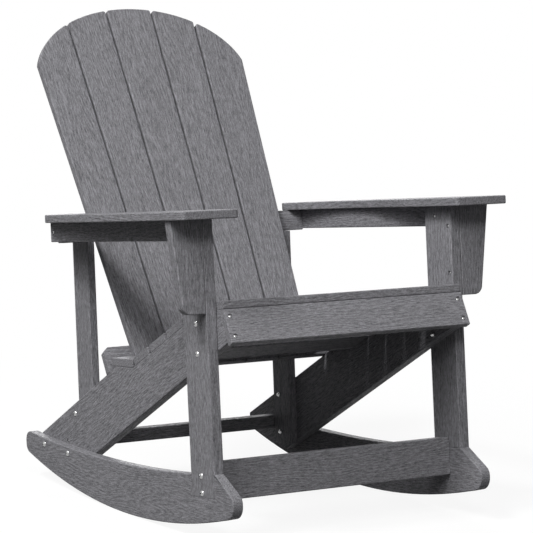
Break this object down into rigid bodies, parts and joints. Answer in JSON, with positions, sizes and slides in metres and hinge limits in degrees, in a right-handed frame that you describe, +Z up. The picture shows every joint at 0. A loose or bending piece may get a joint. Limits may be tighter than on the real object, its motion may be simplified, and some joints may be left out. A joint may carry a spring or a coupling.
{
  "type": "rocking adirondack chair",
  "caption": "Outdoor rocking chair with curved floor runners, a sloped slatted seat, a fanned round-topped slat back and broad flat armrests.",
  "frame": {"origin": "on the floor, at the centre of the chair's outline seen from above, with the chair at rest on its rockers", "axes": "+Z up; the sitter faces -Y; the sitter's right hand is on -X"},
  "size_m": [0.753, 1.0226, 1.0343],
  "materials": {
    "lumber": "grey solid plastic lumber with a shallow embossed wood grain and a low sheen",
    "steel": "plain bright stainless steel, domed heads"
  },
  "bodies": {
    "root": {"apron_screws": "steel", "arm_bracket_left": "lumber", "arm_bracket_right": "lumber", "arm_crossbar": "lumber", "arm_rail_left": "lumber", "arm_rail_right": "lumber", "arm_rail_screws": "steel", "armrest_left": "lumber", "armrest_right": "lumber", "armrest_screws": "steel", "back_slat_1": "lumber", "back_slat_2": "lumber", "back_slat_3": "lumber", "back_slat_4": "lumber", "back_slat_5": "lumber", "back_slat_screws": "steel", "bracket_screws": "steel", "crossbar_screws": "steel", "crossbar_slat_screws": "steel", "front_leg_left": "lumber", "front_leg_right": "lumber", "front_stretcher": "lumber", "ledge_screws": "steel", "leg_bolt_nuts": "steel", "leg_bolts": "steel", "lower_back_brace": "lumber", "post_bolt_nuts": "steel", "post_bolts": "steel", "rear_post_left": "lumber", "rear_post_right": "lumber", "rear_stretcher": "lumber", "rocker_bolts": "steel", "rocker_left": "lumber", "rocker_right": "lumber", "seat_apron": "lumber", "seat_end_board": "lumber", "seat_rail_left": "lumber", "seat_rail_right": "lumber", "seat_slat_1": "lumber", "seat_slat_2": "lumber", "seat_slat_3": "lumber", "seat_slat_4": "lumber", "seat_slat_5": "lumber", "seat_slat_screws": "steel", "stretcher_screws": "steel", "tail_bolt_nuts": "steel", "tail_bolts": "steel", "upper_back_batten": "lumber"}
  },
  "joints": []
}
